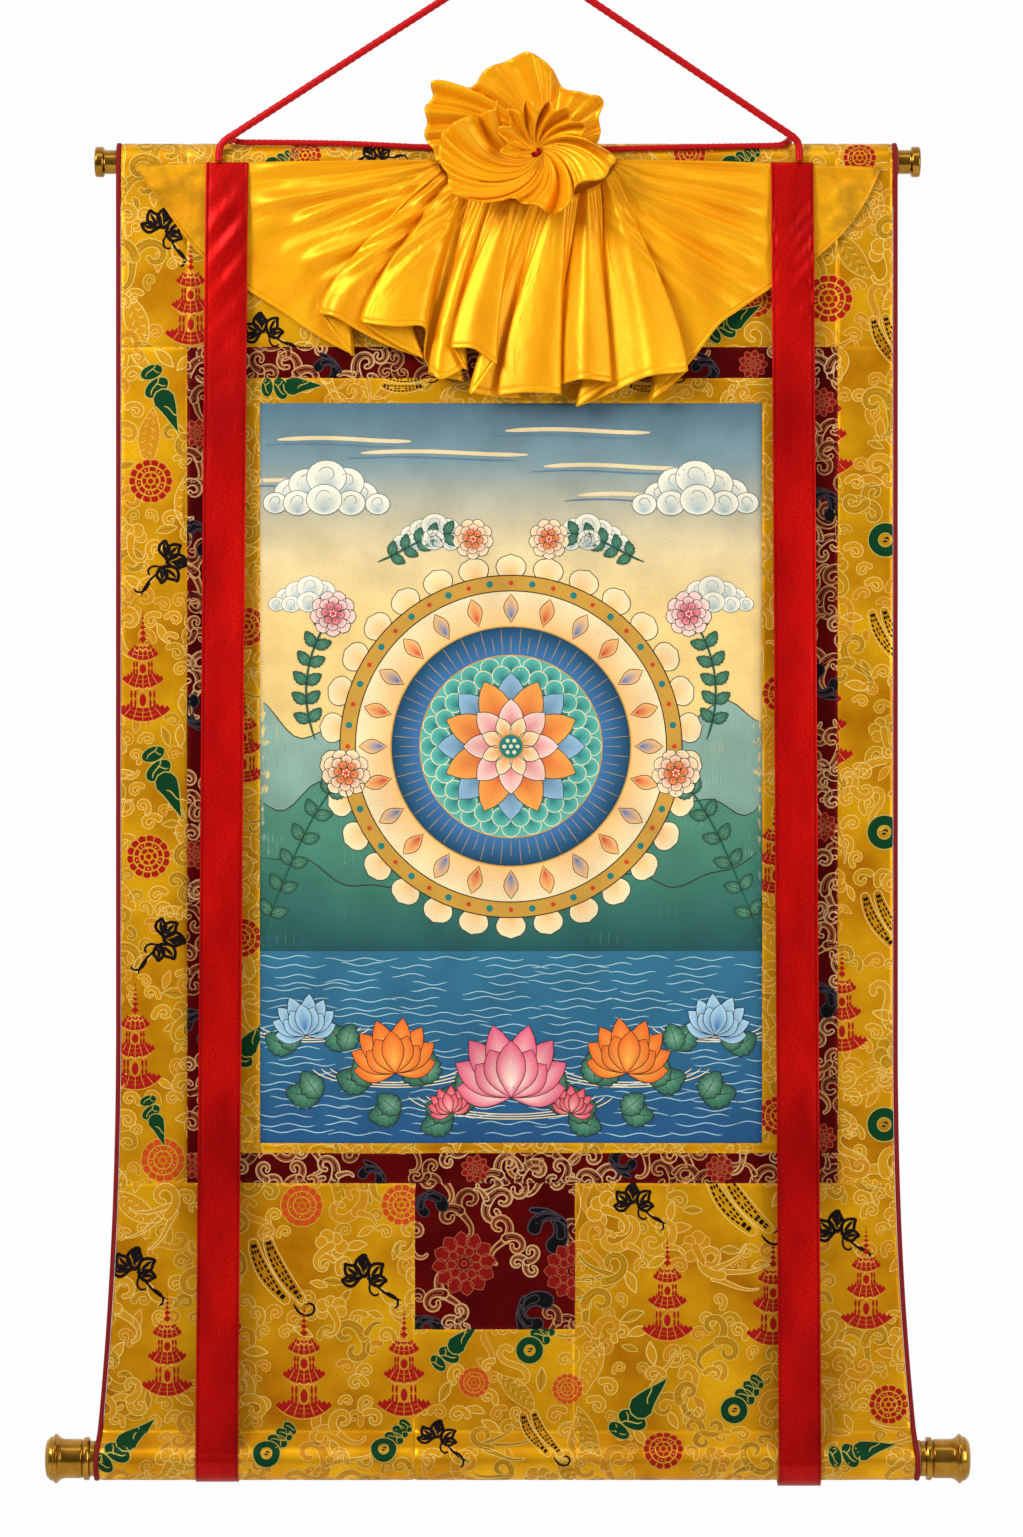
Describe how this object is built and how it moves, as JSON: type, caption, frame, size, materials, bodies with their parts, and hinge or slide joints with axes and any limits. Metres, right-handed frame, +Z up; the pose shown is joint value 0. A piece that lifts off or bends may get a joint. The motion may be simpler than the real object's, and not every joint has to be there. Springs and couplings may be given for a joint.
{
  "type": "thangka scroll painting with head rod and foot roller",
  "caption": "Hanging scroll: painted canvas in pieced brocade borders with a gathered silk cover and rosette, satin ribbons, a rod in the head sleeve and a roller with turned ends at the foot.",
  "frame": {"origin": "under the top bend of the hanging cord, where the wall hook bears, in the plane of the cloth", "axes": "+X to the viewer's right along the rods, +Y into the wall behind the scroll, +Z up"},
  "size_m": [0.8319, 0.0939, 1.3812],
  "materials": {
    "gold_brocade": "woven silk satin brocade, golden yellow with pale, red and green figures",
    "maroon_brocade": "woven silk satin brocade, deep maroon with pale gold figures",
    "red_piping": "dark red cotton binding",
    "painted_canvas": "matt distemper on primed cotton",
    "yellow_silk": "thin glossy silk satin",
    "red_satin": "polyester satin ribbon",
    "red_cord": "round braided silk cord",
    "turned_brass": "turned and polished, lightly aged",
    "rod_wood": "plain pale wood"
  },
  "bodies": {
    "root": {"head_corner_left": "gold_brocade", "head_centre": "gold_brocade", "head_corner_right": "gold_brocade", "side_left": "gold_brocade", "side_right": "gold_brocade", "frame_top": "maroon_brocade", "frame_bottom": "maroon_brocade", "frame_left": "maroon_brocade", "frame_right": "maroon_brocade", "inner_top": "gold_brocade", "inner_bottom": "gold_brocade", "inner_left": "gold_brocade", "inner_right": "gold_brocade", "canvas": "painted_canvas", "foot_left": "gold_brocade", "foot_right": "gold_brocade", "foot_centre": "gold_brocade", "door": "maroon_brocade", "piping_left": "red_piping", "piping_right": "red_piping", "head_rod": "rod_wood", "foot_roller": "rod_wood", "cap_left": "turned_brass", "cap_right": "turned_brass", "knob_left": "turned_brass", "knob_right": "turned_brass", "cover": "yellow_silk", "rosette": "yellow_silk", "tie_knot": "red_cord", "ribbon_left": "red_satin", "ribbon_right": "red_satin", "hanger_cord": "red_cord", "rail_cord": "red_cord"}
  },
  "joints": []
}
